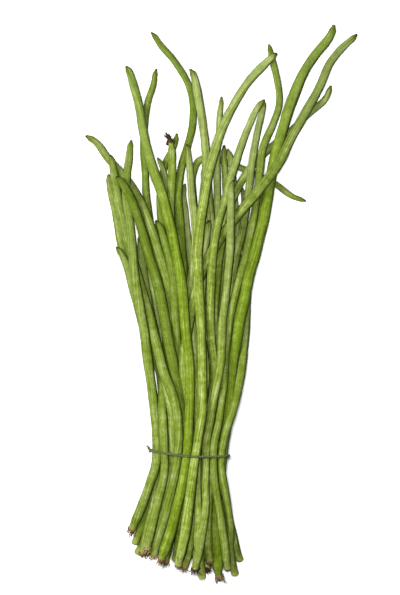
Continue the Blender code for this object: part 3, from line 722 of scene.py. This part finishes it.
TWINE_RADIUS = 0.0013
PLY_RADIUS = 0.00088
PLY_OFFSET = 0.00066
PLY_PITCH = 0.0066
PLY_SIDES = 8
TWINE_STEP = 0.0007
TWINE_CLEAR = 0.0002
RIM_SIDES = 48  # the corners of the rim round each pod that the twine is drawn over
KNOT_REACH = 0.009  # how much of the solid twine, on the left, is its knot and its ends
KNOT_HIGH = 0.25  # the knot sits far to the left, and high on that side by this share
KNOT_SHIFT = (-0.0007, 0.0, 0.0002)
KNOT_SIZE = 0.00062
KNOT_POINTS = 90
TAILS = (
    (
        (0, 0, 0),
        (-0.0010, 0.0012, 0.0006),
        (-0.0020, 0.0024, 0.0008),
        (-0.0029, 0.0036, 0.0008),
        (-0.0036, 0.0050, 0.0006),
    ),
    ((0, 0, 0), (-0.0007, -0.0004, -0.0016), (-0.0009, -0.0006, -0.0036), (-0.0010, -0.0007, -0.0056)),
)
TWINE_DARK = colour(33, 37, 18)
TWINE_GREEN = colour(70, 74, 44)
TWINE_PALE = colour(110, 112, 82)
DARK_TO_GREEN = (0.35, 0.55)
GREEN_TO_PALE = (0.55, 0.75)
TWINE_ROUGHNESS, TWINE_SPECULAR = 0.9, 0.12
TWINE_SQUEEZE, TWINE_GRAIN = (1.0, 1.0, 0.12), (2400.0, 3.0)
WORN_GRAIN = (300.0, 2.0)
TWINE_RELIEF, TWINE_STRENGTH = 0.0005, 0.9

twine_finish = Finish("twine_fibre", {"Roughness": TWINE_ROUGHNESS, "Specular IOR Level": TWINE_SPECULAR})
grown = twine_finish.attribute("grown")
fibres = twine_finish.noise(twine_finish.stretched(grown, *TWINE_SQUEEZE), *TWINE_GRAIN)
worn = twine_finish.noise(grown, *WORN_GRAIN)
fibre = twine_finish.mix((fibres * 0.6 + worn * 0.4).rises(*DARK_TO_GREEN), TWINE_DARK, TWINE_GREEN)
fibre = twine_finish.mix(fibres.rises(*GREEN_TO_PALE), fibre, TWINE_PALE)
twine_finish.link(fibre, "Base Color")
twine_finish.bump(fibres, TWINE_RELIEF, TWINE_STRENGTH)


def hull(points):
    """The convex outline of points in a plane, counter-clockwise."""
    points = sorted(map(tuple, points))
    outline = []
    for run in (points, points[::-1]):
        edge = []
        for p in run:
            while len(edge) > 1 and (edge[-1][0] - edge[-2][0]) * (p[1] - edge[-1][1]) <= (
                edge[-1][1] - edge[-2][1]
            ) * (p[0] - edge[-1][0]):
                edge.pop()
            edge.append(p)
        outline += edge[:-1]
    return np.array(outline)


def twine_slant():
    """How far along the bunch the solid twine lies, as a curve across the bunch."""
    points = np.array([v.co for v in frame["nodes"]["twine"].data.vertices])
    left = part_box("twine")[0][0]
    return np.polyfit(*points[points[:, 0] > left + KNOT_REACH][:, :2].T, 2)


def twine_loop(slant):
    """The closed line of the twine, from the knot once round the pods."""
    rim = []
    turn = np.linspace(0.0, math.tau, RIM_SIDES, endpoint=False)
    for bean in beans:
        order = np.argsort(bean.middles[:, 1])
        x, y, z = bean.middles[order].T
        place = np.polyval(slant, 0.0)
        for _ in range(4):  # each round comes nearer to where the twine crosses this pod
            place = np.polyval(slant, np.interp(place, y, x))
        across, height, size = (np.interp(place, y, value) for value in (x, z, bean.radii[order]))
        clear = size + TWINE_CLEAR + TWINE_RADIUS
        rim += [(across + clear * math.cos(a), height + clear * math.sin(a)) for a in turn]
    outline = hull(rim)
    outline = np.vstack((outline, outline[:1]))
    along = distances(outline)
    wanted = np.arange(0.0, along[-1], TWINE_STEP)
    x, z = (np.interp(wanted, along, outline[:, k]) for k in range(2))
    start = np.argmin(x - KNOT_HIGH * z)
    x, z = (np.append(value[start:], value[: start + 1]) for value in (x, z))
    return np.stack((x, np.polyval(slant, x), z), axis=1)


def lay_ply(bm, layer, line, phase, number, offset=PLY_OFFSET):
    """Adds one of the twine's two plies, which turns round the line; number shifts its pattern."""
    along = distances(line)
    side, up = ring_frames(line)
    turn = math.tau * along / PLY_PITCH + phase
    corner = corners(PLY_SIDES)
    middle = line + offset * (np.cos(turn)[:, None] * side + np.sin(turn)[:, None] * up)
    places = middle[:, None] + PLY_RADIUS * spokes(turn[:, None] + corner, side, up)
    rolled(bm, places, ((layer, as_if_straight(PLY_RADIUS, corner, along + number)),))


def dense(points, step):
    """A smooth line through a few points, with a point every step."""
    points = np.array(points, float)
    return smooth_line(points, np.arange(0.0, distances(points)[-1], step))


loop = twine_loop(twine_slant())
knot = loop[0] + np.array(KNOT_SHIFT)
bm = bmesh.new()
layer = bm.verts.layers.float_vector.new("grown")
for phase, number in ((0.0, 1), (math.pi, 2)):
    lay_ply(bm, layer, loop, phase, number)
    for tail, route in enumerate(TAILS):
        lay_ply(bm, layer, dense(knot + np.array(route), TWINE_STEP), phase, number + 2 * tail + 2)
turn = np.linspace(0.0, math.tau, KNOT_POINTS)
overhand = np.stack(
    (np.sin(turn) + 2 * np.sin(2 * turn), -np.sin(3 * turn), np.cos(turn) - 2 * np.cos(2 * turn)), axis=1
)
lay_ply(bm, layer, knot + overhand * KNOT_SIZE, phase=0.0, number=9, offset=0.0)
twine = object_from(bm, "twine_laid", twine_finish.material)
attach(twine, "root")
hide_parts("twine")
